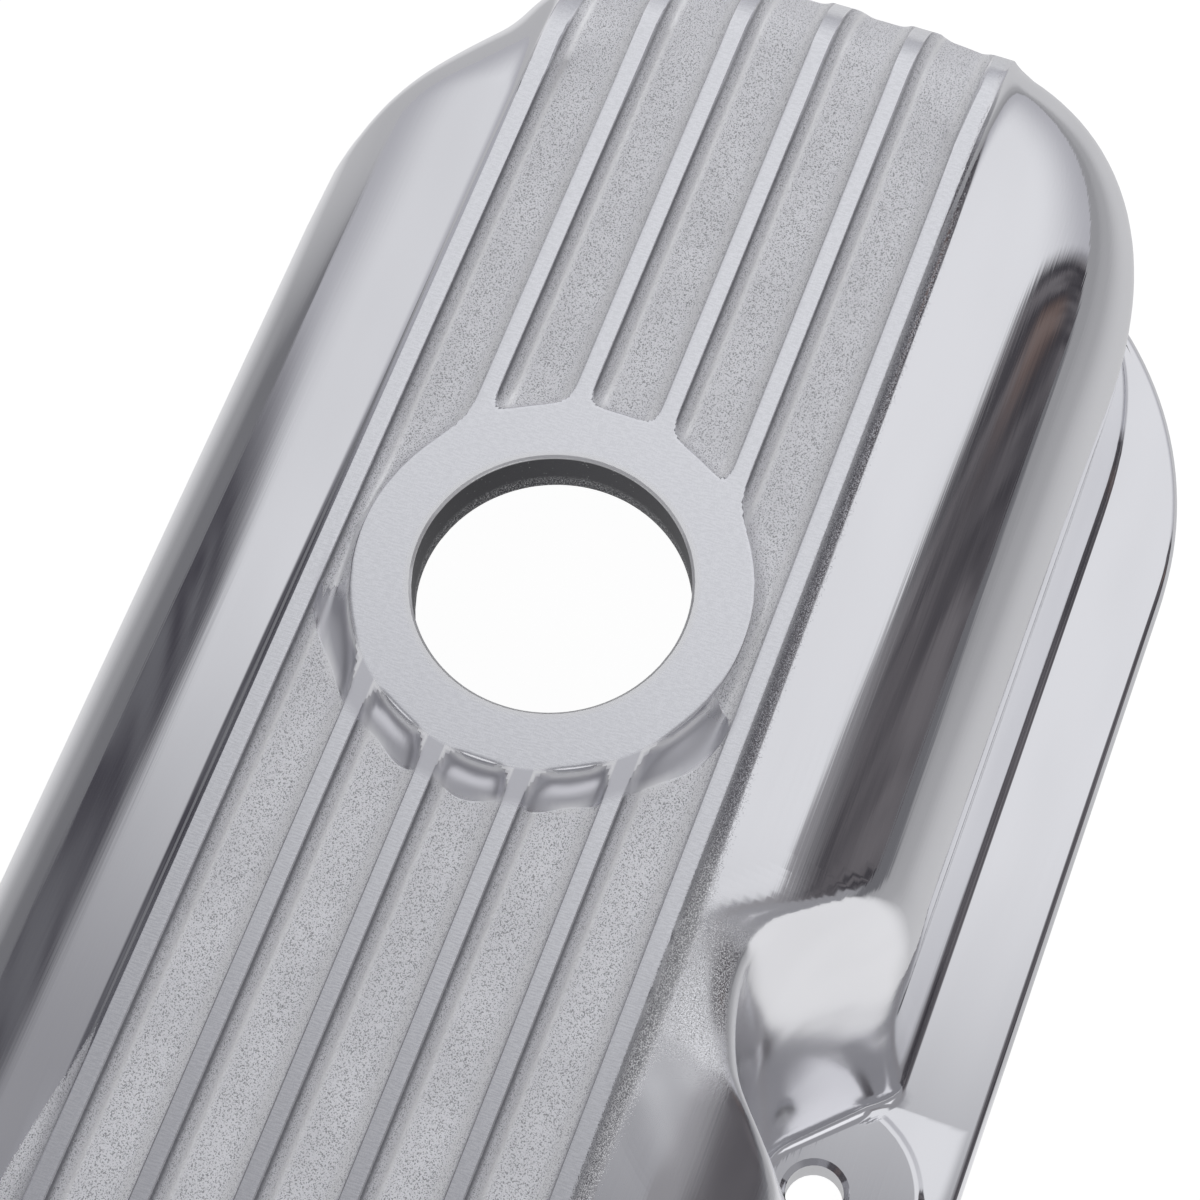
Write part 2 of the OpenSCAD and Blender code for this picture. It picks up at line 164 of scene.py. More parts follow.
def corner(c, ax, ay, n, y_edge, count, sign):
    """Points of a plan corner between the side line and the line y_edge: a superellipse of power n about c,
    in equal steps of plan angle. Gives x, y and the share of the end's height, 1 - (dy / ay)^n."""
    dy = sign * (y_edge - c[1])
    if dy >= 0:
        xe = ax * (1 - min(dy / ay, 1.0) ** n) ** (1 / n)
        phi = np.full(count, math.pi / 2)
        if xe > 1e-9:
            phi = np.linspace(math.pi / 2, math.atan2(dy, xe), count + 2)[1:-1]
        first = 0
    else:
        first = max(1, round(count * -dy / (-dy + 1.3 * ay)))
        phi = np.linspace(math.pi / 2, 0, count - first + 1)[1:]
    s, co = np.sin(phi), np.cos(phi)
    rho = 1 / ((np.abs(co) / ax) ** n + (s / ay) ** n) ** (1 / n)
    x, v = rho * co, rho * s
    if first:
        extra = np.linspace(0, dy, first + 2)[1:-1]
        x = np.concatenate([x, np.full(len(extra), ax)])
        v = np.concatenate([v, extra])
    share = 1 - np.clip(v / ay, 0, 1) ** n
    return c[0] + x, c[1] + sign * v, share


def end_line(level, ys):
    """x and height share along the end of a ring at the lines ys."""
    x = np.full(len(ys), level["x"], float)
    w = np.ones(len(ys))
    for c, side, sign in ((level["cr"], level["yr"], -1), (level["cl"], level["yl"], 1)):
        v = sign * (ys - c[1])
        ay = sign * (side - c[1])
        m = v > 0
        t = np.clip(v[m] / ay, 0, 1) ** c[2]
        x[m] = c[0] + (level["x"] - c[0]) * (1 - t) ** (1 / c[2])
        w[m] = 1 - t
    return x, w


def half_ring(level):
    """One half of a ring of skin points, from the middle of the right side round the end to the left side."""
    zs, ze = level["zs"], level["ze"]
    pts = [np.column_stack([XS_RIGHT, np.full(KA, level["yr"]), np.full(KA, zs)])]
    cr, cl = level["cr"], level["cl"]
    first = np.array([[cr[0], level["yr"], zs]])
    x, y, w = corner(cr, level["x"] - cr[0], cr[1] - level["yr"], cr[2], SHIFT - CROWN_Y, N_CR, -1)
    pts += [first, np.column_stack([x, y, zs + (ze - zs) * w])]
    ys = SHIFT + YS
    x, w = end_line(level, ys)
    pts.append(np.column_stack([x, ys, zs + (ze - zs) * w]))
    x, y, w = corner(cl, level["x"] - cl[0], level["yl"] - cl[1], cl[2], SHIFT + CROWN_Y, N_CL, 1)
    pts += [np.column_stack([x, y, zs + (ze - zs) * w])[::-1], np.array([[cl[0], level["yl"], zs]])]
    on_left = np.ones(len(XS_LEFT))
    pts.append(np.column_stack([XS_LEFT, on_left * level["yl"], on_left * zs])[::-1])
    return np.concatenate(pts)


def full_ring(level):
    """A whole ring: the half ring and its mirror image, with the pockets bitten out of it."""
    h = half_ring(level)
    if level["grow"] is not None:
        h = bite(h, level["grow"])
    return np.concatenate([h, h[1:-1][::-1] * (-1, 1, 1)])


def body(zs, y, ze, x, grow=0.0):
    """A level of the body: height and half width of its sides, height and x of its ends, and how far the
    pockets are to be cut wider than in the outer skin."""
    return {"zs": zs, "ze": ze, "yr": SHIFT - y, "yl": SHIFT + y, "x": x, "grow": grow,
            "cr": (CX, SHIFT - START_R, POWER_R), "cl": (CX, SHIFT - START_L, POWER_L)}


def flange(z, m):
    """A level of the flange at height z, inset by m, with round plan corners."""
    return {"zs": z, "ze": z, "yr": m - HW, "yl": HW - m, "x": HL - m, "grow": None,
            "cr": (HL - CORNER_R, CORNER_R - HW, 2), "cl": (HL - CORNER_L, HW - CORNER_L, 2)}


def shoulder(a):
    """A level of the rolled shoulder at the roll angle a in degrees: a quarter circle seen from the end."""
    s, c = math.sin(math.radians(a)), math.cos(math.radians(a))
    return body(SH_FOOT + SH_R * c, CROWN_Y + SH_R * s, ROLL_FOOT + ROLL * c, CROWN_X + ROLL * s)


def wall(f):
    """A level of the wall at the share f of the way from the shoulder's foot down to the crease."""
    z_end = ROLL_FOOT + (CREASE_Z - ROLL_FOOT) * f
    return body(SH_FOOT + (CREASE_Z - SH_FOOT) * f, BODY_Y - TUCK * f * f, z_end, END_X)


def fin_inside(x, y, z):
    """How deep the points lie inside the nearest fin's side view, a band with rolled ends, and their distance
    from that fin's side. Fins further left roll over the end with a larger radius."""
    rel = y - SHIFT
    i = np.argmin(np.abs(rel[..., None] - FINS), axis=-1)
    yf = FINS[i]
    n = np.where(yf < 0, POWER_R, POWER_L)
    v = np.where(yf < 0, np.maximum(-yf - START_R, 0), np.maximum(yf + START_L, 0))
    ay = np.where(yf < 0, BODY_Y - START_R, BODY_Y + START_L)
    reach = CX + RUN * (1 - (v / ay) ** n) ** (1 / n) - TIP_INSET
    roll = ROLL + ROLL_GROWTH * (np.maximum(yf + START_L, 0) / FINS[-1]) ** 2
    dx = np.maximum(np.abs(x) - (reach - roll), 0)
    dz = z - (TOP - roll)
    deep = np.where(dx > 0, roll - np.sqrt(dx ** 2 + np.maximum(dz, 0) ** 2), TOP - z)
    deep = np.where(dz < 0, reach - np.abs(x), deep)
    return deep, np.abs(rel - yf) - FIN_W / 2


def fin_rise(deep, d):
    """Height of a fin over the skin at the distance d from its side: a fillet of radius FILLET at the foot,
    a short rounding of the top edge, and never more than deep."""
    e = np.clip(d, 0, FILLET)
    foot = FILLET - np.sqrt(FILLET ** 2 - (FILLET - e) ** 2)
    edge = np.clip((d + 0.25) / 0.25, 0, 1)
    full = GROOVE - (GROOVE - FILLET) * edge ** 2
    g = np.where(d > 0, foot, full)
    return np.maximum(np.minimum(g, deep), 0)


V, F = [], []
count = 0


def add(points):
    """Adds points to the mesh and gives their numbers in the same layout."""
    global count
    points = np.asarray(points, float)
    n = points.reshape(-1, 3)
    V.append(n)
    ids = np.arange(count, count + len(n)).reshape(points.shape[:-1])
    count += len(n)
    return ids


def grid(ids, closed=False, flip=False):
    """Quads between the rows of numbered points."""
    a, b = ids[:-1], ids[1:]
    if closed:
        q = np.stack([a, np.roll(a, -1, 1), np.roll(b, -1, 1), b], -1)
    else:
        q = np.stack([a[:, :-1], a[:, 1:], b[:, 1:], b[:, :-1]], -1)
    q = q.reshape(-1, 4)
    F.append(q[:, ::-1] if flip else q)


def zipper(one, two, x_one, x_two, flip=False):
    """Triangles between two lines of points with different numbers of points, both rising in x."""
    i = j = 0
    out = []
    while i < len(one) - 1 or j < len(two) - 1:
        go_one = j == len(two) - 1 or (i < len(one) - 1 and x_one[i + 1] <= x_two[j + 1])
        if go_one:
            out.append((one[i], one[i + 1], two[j], two[j]))
            i += 1
        else:
            out.append((one[i], two[j + 1], two[j], two[j]))
            j += 1
    q = np.array(out)
    F.append(q[:, ::-1] if flip else q)


# outer skin: shoulder, wall, skirt, foot, flange
def shoulder_ring(a):
    """A ring of the shoulder with the fins on it: each point moves out along the skin's normal by the fin's
    rise. The normal turns with a, and in plan it is that of the corner's superellipse."""
    lv = shoulder(a)
    p = full_ring(lv)
    s, c = math.sin(math.radians(a)), math.cos(math.radians(a))
    plain = half_ring(lv)
    n2 = np.zeros((len(plain), 2))
    for cc, side, sign in ((lv["cr"], lv["yr"], -1), (lv["cl"], lv["yl"], 1)):
        m = sign * (plain[:, 1] - cc[1]) > 0
        ax, ay = lv["x"] - cc[0], sign * (side - cc[1])
        gx = np.maximum(plain[m, 0] - cc[0], 0) ** (cc[2] - 1) / ax ** cc[2]
        gy = (sign * (plain[m, 1] - cc[1])) ** (cc[2] - 1) / ay ** cc[2]
        n2[m] = np.column_stack([gx, sign * gy])
    n2[np.linalg.norm(n2, axis=1) < 1e-12] = (1, 0)
    n2 /= np.linalg.norm(n2, axis=1)[:, None]
    n2 = np.concatenate([n2, n2[1:-1][::-1] * (-1, 1)])
    normal = np.column_stack([n2 * s, np.full(len(n2), c)])
    deep, d = fin_inside(p[:, 0], p[:, 1], p[:, 2])
    return p + normal * fin_rise(deep, d)[:, None]


angles = [0, 1.5, 3, 4.5, 6.2, 8, 10.5, 13, 16, 19, 22, 25.5, 29, 32.5, 36, 39.5, 43, 46.5, 50, 53.5, 57]
angles += [60.5, 64, 67.5, 71, 74.5, 78, 82, 86, 90]
skin = [shoulder_ring(a) for a in angles]
for f in (0.1, 0.25, 0.4, 0.55, 0.7, 0.85, 1.0):
    skin.append(full_ring(wall(f)))


def seated(levels):
    """Lower rings: the height is measured from the flange or, near a bolt, from its seat."""
    out = []
    for lv, f in levels:
        p = full_ring(lv)
        p[:, 2] += seat(p[:, 0], p[:, 1]) * f
        out.append(p)
    return out


foot_top = FLANGE_T + FOOT
lower = []
for f in (0.08, 0.2, 0.35, 0.5, 0.65, 0.8, 0.92, 1.0):
    z = CREASE_Z + (foot_top - CREASE_Z) * f
    lower.append((body(z, BODY_Y - TUCK + FLARE * f ** 1.3, z, END_X + FLARE * 0.3 * f), f))
for t in (18, 36, 54, 72, 90):
    t = math.radians(t)
    out = FOOT * (1 - math.cos(t))
    z = foot_top - FOOT * math.sin(t)
    lower.append((body(z, SKIRT_Y + out, z, SKIRT_X + out, -out), 1.0))
skin += seated(lower)
foot_ring = skin[-1]
N = len(foot_ring)
upper = add(np.array(skin))
grid(upper, closed=True, flip=True)
foot_ids = upper[-1]
t_edge = [math.radians(t) for t in (0, 15, 30, 45, 60, 75, 90)]
edge = [flange(FLANGE_T - FLANGE_R * (1 - math.cos(t)), FLANGE_R * (1 - math.sin(t))) for t in t_edge]
# a small broken corner along the gasket face
edge += [flange(0.25, 0), flange(0, 0.2)]
edge = [full_ring(lv) for lv in edge]
edge_ids = add(np.array(edge))
grid(edge_ids, closed=True, flip=True)

# which ring points belong to a bolt
K_HALF = KA + 1 + N_CR + M + N_CL + 1 + len(XS_LEFT)
assert N == 2 * K_HALF - 2
# half length of a side bolt's stretch, half the count of a corner bolt's stretch, the least change of angle
# between its spokes in degrees, and the radius inside which the spokes' rings are squeezed together
STRETCH, CORNER_STRETCH, LEAST_TURN, SPOKE_R = 26.0, 24, 0.5, 13.6


def bolt_span(b):
    """First and last ring number of the stretch that faces the bolt b. A stretch ends where the body's foot
    is furthest round the bolt, so the spokes to it never cross."""
    if b[1] < 0:
        ks = np.where(np.abs(XS_RIGHT - abs(b[0])) <= STRETCH)[0]
    elif b[0] == 0:
        ks = KA + 1 + N_CR + M + N_CL + 1 + np.where(XS_LEFT[::-1] <= STRETCH)[0]
        ks = np.arange(ks[0], 2 * (K_HALF - 1) - ks[0] + 1)
    else:
        first = KA + 1 + N_CR + M
        ks = first + np.arange(N_CL)
        mid = ks[np.argmin(np.hypot(foot_ring[ks, 0] - abs(b[0]), foot_ring[ks, 1] - b[1]))]
        ks = np.arange(mid - CORNER_STRETCH, mid + CORNER_STRETCH + 1)
    q = foot_ring[ks, :2] - (abs(b[0]), b[1])
    turn = np.degrees(np.unwrap(np.arctan2(q[:, 1], q[:, 0])))
    mid = np.argmin(np.hypot(q[:, 0], q[:, 1]))
    sign = np.sign(turn[mid + 1] - turn[mid - 1])
    step = np.diff(turn) * sign
    lo = mid - 1
    while lo > 0 and step[lo - 1] > LEAST_TURN:
        lo -= 1
    hi = mid + 1
    while hi < len(ks) - 1 and step[hi] > LEAST_TURN:
        hi += 1
    lo, hi = ks[lo], ks[hi]
    if b[0] < 0:
        lo, hi = N - hi, N - lo
    return lo, hi


def face_with_holes(inner_ids, outer_ids, inner_pts, outer_pts, height, radii, lines, up):
    """Flat face between two rings of points with round holes at the bolts. Each hole is met by spokes from
    the edge of its stretch, the rest is a strip."""
    strip = [inner_pts + (outer_pts - inner_pts) * t for t in lines]
    for s in strip:
        s[:, 2] = height(s[:, 0], s[:, 1])
    mid = [add(s) for s in strip]
    rows = np.array([inner_ids] + mid + [outer_ids])
    skip = np.zeros(N, bool)
    holes = []
    for b in BOLTS:
        lo, hi = bolt_span(b)
        skip[np.arange(lo, hi) % N] = True
        span = np.arange(lo, hi + 1) % N
        loop = list(inner_ids[span]) + [m[hi % N] for m in mid] + list(outer_ids[span][::-1])
        loop += [m[lo % N] for m in mid][::-1]
        pts = [inner_pts[span]] + [s[[hi % N]] for s in strip] + [outer_pts[span][::-1]]
        pts += [s[[lo % N]] for s in strip][::-1]
        pts = np.concatenate(pts)
        q = pts[:, :2] - (b[0], b[1])
        r = np.hypot(q[:, 0], q[:, 1])
        unit = q / r[:, None]
        spokes = [np.array(loop)]
        for want in radii[::-1]:
            share = (want - radii[0]) / (SPOKE_R - radii[0])
            rr = np.where(r > SPOKE_R, want, radii[0] + (r - radii[0]) * share)
            xy = unit * rr[:, None] + (b[0], b[1])
            spokes.append(add(np.column_stack([xy, height(xy[:, 0], xy[:, 1])])))
        grid(np.array(spokes), closed=True, flip=up)
        holes.append((b, spokes[-1], unit))
    q = np.stack([rows[:-1], np.roll(rows[:-1], -1, 1), np.roll(rows[1:], -1, 1), rows[1:]], -1)
    q = q[:, ~skip].reshape(-1, 4)
    F.append(q[:, ::-1] if up else q)
    return holes


# radii of the rings of points round a bolt, and places of the lines between the body's foot and the edge
seat_radii = [HOLE_R + HOLE_CH, 5.2, 7.5, 10.0]
seat_radii += [SEAT_R - 0.3, SEAT_R, SEAT_R + 0.4, SEAT_R + 0.8, SEAT_R + SEAT_SLOPE]
low_radii = [7.0, 8.5]
STRIPS = (0.12, 0.45, 0.8)
top_holes = face_with_holes(foot_ids, edge_ids[0], foot_ring, edge[0], lambda x, y: FLANGE_T + seat(x, y),
                            seat_radii, STRIPS, True)

# crown: the flat top with the fins, the grooves and the ring around the bore

# reach of the lift towards the end roll, soft corners of fin to ring and of fin to fin, share by which the
# ring's foot is wider on its near side
END_LIFT, RING_CORNER, FIN_CORNER, NEAR_SLOPE = 8.0, 3.0, 0.5, 0.3


def crown_x(rows):
    """x of the crown line (the start of the end roll) at the given rows, and its height without fins."""
    lv = shoulder(0)
    x, w = end_line(lv, SHIFT + rows)
    return x, lv["zs"] + (lv["ze"] - lv["zs"]) * w


def crown_height(x, rel):
    """Height of the crown: groove floor, lifted a little towards the end roll, plus fins and ring. Fins that
    reach the ring join it with rounded inner corners."""
    cx, cz = crown_x(np.clip(rel, -CROWN_Y, CROWN_Y).ravel())
    cx, cz = cx.reshape(rel.shape), cz.reshape(rel.shape)
    t = np.clip((cx - np.abs(x)) / END_LIFT, 0, 1)
    base = FLOOR_Z + (cz - FLOOR_Z) * (1 - t) ** 2
    outside = np.abs(rel) > FINS[-1]
    base = np.where(outside, SH_TOP, base)
    side = np.abs(rel[..., None] - FINS) - FIN_W / 2
    slope = np.clip((BORE_X - x - 2) / 8, 0, 1)
    ring = (np.hypot(x - BORE_X, rel) - RING_R) * (1 - NEAR_SLOPE * slope)
    inner = np.min(side[..., 1:-1], axis=-1)
    outer = np.minimum(side[..., 0], side[..., -1])
    d = soft_min(outer, soft_min(inner, ring, RING_CORNER), FIN_CORNER)
    return base + fin_rise(TOP - base, d)


# the crown's points: insets from the crown line, radii round the bore and x lines between the two
CROWN_IN = np.array([0, 0.5, 1.1, 1.8, 2.6, 4.5, 8.0])
ARCS = np.array([42, 36, 32, 29.5, 27.7, 26.4, 25.5, 24.9, 24.4, 24.0, 23.7, 23.45, 23.25, 23.1, 23.0, 22.93,
                 RING_R])
NEAR_X = np.array([-172, -150, -120, -90, -60, -30, 0, 30, 55, 72.0])


def crown(rel, ids_ring, height, offsets, arcs, near_x, border, flip):
    """Fills the inside of a crown ring: rows along the cover, bent round the bore's ring. The outermost rows
    have the same points as the sides. Returns the loop of points at the ring and its plan directions."""
    k0 = KA + 1 + N_CR
    far = ids_ring[k0:k0 + M]
    near = ids_ring[(N - np.arange(k0, k0 + M)) % N]
    cxs, _ = crown_x(rel)
    # rows at the two sides, with the side's own points
    right = ids_ring[np.concatenate([(N - np.arange(KA, 0, -1)) % N, np.arange(KA + 1)])]
    middle, count_l = K_HALF - 1, len(XS_LEFT)
    left = ids_ring[np.arange(middle + count_l, middle - count_l - 1, -1)]
    xr = np.concatenate([[-CX], -XS_RIGHT[:0:-1], XS_RIGHT, [CX]])
    xl = np.concatenate([[-CX], -XS_LEFT[:0:-1], XS_LEFT, [CX]])
    sides = []
    for ids, xs, js in ((right, xr, np.arange(border)), (left, xl, np.arange(M - 1, M - 1 - border, -1))):
        rows = [ids]
        for j in js[1:]:
            p = np.column_stack([xs, np.full(len(xs), SHIFT + rel[j]), height(xs, np.full(len(xs), rel[j]))])
            rows.append(add(p))
        rows = [np.concatenate([[near[j]], r, [far[j]]]) for r, j in zip(rows, js)]
        grid(np.array(rows), flip=(js[0] != 0) != flip)
        sides.append((rows[-1], np.concatenate([[-cxs[js[-1]]], xs, [cxs[js[-1]]]])))
    inner = np.arange(border, M - border)
    r = rel[inner]
    cx = cxs[inner]
    cols_n, cols_f = [], []
    for off in offsets[1:]:
        cols_n.append(-cx + off)
        cols_f.append(cx - off)
    for x in near_x:
        cols_n.append(np.full(len(r), x))
    for a in arcs:
        dx = np.sqrt(np.maximum(a * a - r * r, 0))
        cols_n.append(BORE_X - dx)
    far_arcs = [BORE_X + np.sqrt(np.maximum(a * a - r * r, 0)) for a in arcs[::-1]]
    cols_f = far_arcs + cols_f[::-1]
    out = []
    for cols in (cols_n, cols_f):
        x = np.array(cols).T
        y = np.repeat(r[:, None], x.shape[1], 1)
        out.append(add(np.stack([x, SHIFT + y, height(x, y)], -1)))
    rows_n = np.concatenate([near[inner][:, None], out[0]], 1)
    rows_f = np.concatenate([out[1], far[inner][:, None]], 1)
    whole = np.abs(r) >= RING_R - 1e-9
    rows_f[whole, 0] = rows_n[whole, -1]
    grid(rows_n, flip=flip)
    grid(rows_f, flip=flip)
    for (ids, xs), i, turn in ((sides[0], 0, False), (sides[1], -1, True)):
        two = np.concatenate([rows_n[i], rows_f[i][1:]])
        x_two = np.concatenate([[-cx[i]], out_x(cols_n, i), out_x(cols_f, i)[1:], [cx[i]]])
        zipper(list(ids), list(two), list(xs), list(x_two), flip=turn != flip)
    inside = np.where(np.abs(r) <= RING_R + 1e-9)[0]
    loop = np.concatenate([rows_n[inside, -1], rows_f[inside, 0][::-1][1:-1]])
    rr = r[inside]
    dx = np.sqrt(np.maximum(RING_R ** 2 - rr ** 2, 0))
    unit = np.concatenate([np.column_stack([-dx, rr]), np.column_stack([dx, rr])[::-1][1:-1]]) / RING_R
    return loop, unit


def out_x(cols, i):
    """The x values of point number i of each column."""
    return [float(c[i]) for c in cols]


def round_rows(loop, unit, radii, height):
    """Rings of points from a loop at the ring's edge inward to the bore."""
    rows = [loop]
    for r in radii:
        x, rel = unit[:, 0] * r + BORE_X, unit[:, 1] * r
        rows.append(add(np.column_stack([x, rel + SHIFT, height(x, rel, r)])))
    return rows


def ring_height(x, rel, r):
    """Height of the ring's face at the radius r, lower inside the bore's chamfer."""
    drop = max(BORE_R + CHAMFER - r, 0)
    return crown_height(x, rel) - drop


# the rows beyond this y, along the outer edges of the outermost fins, have the points of the sides
BORDER_Y = 26.3
top_border = int(np.sum(YS < -BORDER_Y))
loop_top, unit_top = crown(YS, upper[0], crown_height, CROWN_IN, ARCS, NEAR_X, top_border, False)
face_radii = [22.82, 22.74, 22.65, 22.5, 22.25, 20.5, 18.5, 17.0]
face_radii += [BORE_R + CHAMFER, BORE_R + CHAMFER / 2, BORE_R]
ring_rows = round_rows(loop_top, unit_top, face_radii, ring_height)
first_bore = count
bore_rows = [ring_rows[-1]]
for z in (TOP - CHAMFER - 0.3, 53.5, 51.5, 50.2, ROOF_Z):
    p = unit_top * BORE_R
    bore_rows.append(add(np.column_stack([p[:, 0] + BORE_X, p[:, 1] + SHIFT, np.full(len(p), z)])))
grid(np.array(ring_rows), closed=True, flip=True)
grid(np.array(bore_rows), closed=True, flip=True)

# cavity
first_cavity = count


def hollow(a):
    """A level of the hollow's shoulder: a quarter ellipse from the roof's edge, one wall inside the skin."""
    s, c = math.sin(math.radians(a)), math.cos(math.radians(a))
    return body(SH_FOOT + (ROOF_Z - SH_FOOT) * c, CROWN_Y + (SH_R - WALL) * s,
                ROLL_FOOT + (ROOF_Z - ROLL_FOOT) * c, CROWN_X + (ROLL - WALL) * s, WALL if a else None)


cavity = [full_ring(hollow(a)) for a in (0, 8, 16, 25, 35, 46, 58, 72, 90)]
cavity.append(full_ring(body(CREASE_Z, BODY_Y - TUCK - WALL, CREASE_Z, END_X - WALL, WALL)))
cavity += [full_ring(body(z, SKIRT_Y - WALL, z, SKIRT_X - WALL, WALL)) for z in (SEAT_Z + FOOT, 0.4)]
cavity.append(full_ring(body(0, SKIRT_Y - WALL + 0.3, 0, SKIRT_X - WALL + 0.3, WALL - 0.3)))
cavity_ids = add(np.array(cavity))
grid(cavity_ids, closed=True)
no_inset, middle_line, ring_only = np.array([0.0]), np.array([0.0]), np.array([RING_R])
loop_low, _ = crown(YS, cavity_ids[0], lambda x, rel: np.full(np.shape(x), ROOF_Z), no_inset, ring_only,
                    middle_line, 1, True)
grid(np.array([loop_low, bore_rows[-1]]), closed=True)
low_holes = face_with_holes(cavity_ids[-1], edge_ids[-1], cavity[-1], edge[-1], lambda x, y: np.zeros_like(x),
                            low_radii, STRIPS, False)
first_hole = count
for (b, ids, unit), (_, low, _) in zip(top_holes, low_holes):
    rows = [ids]
    for r, z in ((HOLE_R, SEAT_Z - HOLE_CH), (HOLE_R, 2.0), (HOLE_R, 0.0)):
        rows.append(add(np.column_stack([unit * r + (b[0], b[1]), np.full(len(unit), z)])))
    rows.append(low)
    grid(np.array(rows), closed=True, flip=True)

# weld, drop empty faces and make the mesh
points = np.concatenate(V)
faces = np.concatenate(F)
_, keep, same = np.unique(np.round(points, 5), axis=0, return_index=True, return_inverse=True)
points = points[keep]
faces = same.reshape(-1)[faces]
f_next = np.roll(faces, -1, 1)
distinct = faces != f_next
faces_n = distinct.sum(1)
quads = faces[faces_n == 4]
bad = (quads[:, 0] == quads[:, 2]) | (quads[:, 1] == quads[:, 3])
quads = quads[~bad]
tri_src, tri_keep = faces[faces_n == 3], distinct[faces_n == 3]
tris = tri_src[tri_keep].reshape(-1, 3)
loops = np.concatenate([quads.ravel(), tris.ravel()])
starts = np.concatenate([np.arange(len(quads)) * 4, len(quads) * 4 + np.arange(len(tris)) * 3])
mesh = bpy.data.meshes.new("cover_casting_mesh")
mesh.vertices.add(len(points))
mesh.loops.add(len(loops))
mesh.polygons.add(len(starts))
mesh.vertices.foreach_set("co", (points * MM).ravel())
mesh.loops.foreach_set("vertex_index", loops.astype(np.int32))
mesh.polygons.foreach_set("loop_start", starts.astype(np.int32))
mesh.update(calc_edges=True)
mesh.validate()

# finishes, written on the mesh as masks; places and depths in mm
rel_y = points[:, 1] - SHIFT
plan_x, z_all = points[:, 0], points[:, 2]
side_x = np.abs(plan_x)
_, fin_side = fin_inside(plan_x, points[:, 1], z_all)
to_ring = np.hypot(plan_x - BORE_X, rel_y) - RING_R
to_right = np.hypot(side_x - BOLT_RX, points[:, 1] - BOLT_RY)
outer = keep < first_bore
in_bore = (keep >= first_bore) & (keep < first_cavity)
in_cavity = (keep >= first_cavity) & (keep < first_hole)
half_fins = FINS[-1] + FIN_W / 2
between = np.abs(rel_y) < half_fins
near_fin = FINS[np.argmin(np.abs(rel_y[:, None] - FINS), axis=1)]
on_right = rel_y < near_fin


def ramp(v, low, high):
    """0 below low, 1 above high and t^2 (3 - 2t) between them."""
    t = np.clip((v - low) / (high - low), 0, 1)
    return t * t * (3 - 2 * t)


def peak(v, place, width):
    """exp(-((v - place) / width)^2): 1 at the place, fading over the width."""
    return np.exp(-((v - place) / width) ** 2)


# depth of the milled faces' edge, depth that counts as far from it, and height where the cast skin starts
MILLED, FAR, CAST_FROM = 0.3, 3.0, 30.0
on_crown = side_x < CROWN_X - 12

# the slopes that end the grooves on the near side of the ring: length in the middle and how much it changes
SLOPE_LENGTH, SLOPE_CHANGE = 3.9, 0.35
near_end = ramp(BORE_X - plan_x, 6, 10) * between * outer
end_edge = SLOPE_LENGTH + SLOPE_CHANGE * np.sin(rel_y * 0.8 + 1)

# as-cast skin of the grooves, measured in mm from its edge: positive inside
groove = np.where(between, np.where(on_crown, TOP - MILLED - z_all, fin_side - 0.12), -FAR)
groove = np.minimum(groove, np.where(near_end > 0, to_ring - end_edge * near_end, FAR))

# as-cast strips beside the outermost fins: their width along the cover, then the depth inside them
RIGHT_X, RIGHT_W = [0, 55, 68, 76, 92, 100, 113, 180, 203], [1.6, 1.8, 2.2, 2.8, 2.8, 2.2, 1.7, 1.3, 0.0]
LEFT_X, LEFT_W = [-75, -60, -30, 0, 30, 42, 53, 63, 68], [0, 2.0, 4.0, 4.8, 4.8, 4.2, 2.1, 0.9, -0.3]
strip_right = np.interp(side_x, RIGHT_X, RIGHT_W)
strip_left = np.interp(plan_x, LEFT_X, LEFT_W)
beside_right = np.minimum(-rel_y - half_fins, strip_right + half_fins + rel_y)
beside_left = np.minimum(rel_y - half_fins, strip_left + half_fins - rel_y)
beside = np.maximum(beside_right, beside_left) - 0.3
sand = np.where(outer & (z_all > CAST_FROM), np.maximum(groove, beside), -FAR)

# shares from 0 to 1: milled top, painted highlight at the foot of a fin and painted shade on its wall,
# painted highlights on the lips of the slopes, painted shade on the far strip
fin_zone = outer * ramp(z_all, 36, 44)
fin_top = ramp(-fin_side, -0.1, 0.1) * ramp(z_all, 36, 40) * between
top_share = np.where(on_crown, ramp(z_all, TOP - MILLED, TOP - 0.08), fin_top)
# painted highlight: a light stripe along the foot of each fin, full on its -Y side and half on its +Y side
foot = peak(fin_side, 1.3, 0.36) * np.where(on_right, 1.0, 0.5) * between
# painted shade: a dark line along each fin's wall, full on its -Y side and half on its +Y side
fin_wall_shade = ramp(0.32 - np.abs(fin_side - 0.05), 0, 0.25) * np.where(on_right, 1.0, 0.5)
# painted highlights: bright lips along the edges of the slopes and where the fins meet the ring
lips = 0.8 * peak(to_ring, end_edge, 0.4)
lips += peak(np.minimum(to_ring, fin_side), 0.28, 0.26) * ramp(3.5 - to_ring, 0, 2)
# painted shade: the as-cast strip beside the outermost -Y fin, darkened from |x| 94 to 110 mm outward
strip_shade = ((beside_right > -0.6) & (side_x > 50)) * ramp(side_x, 94, 110)

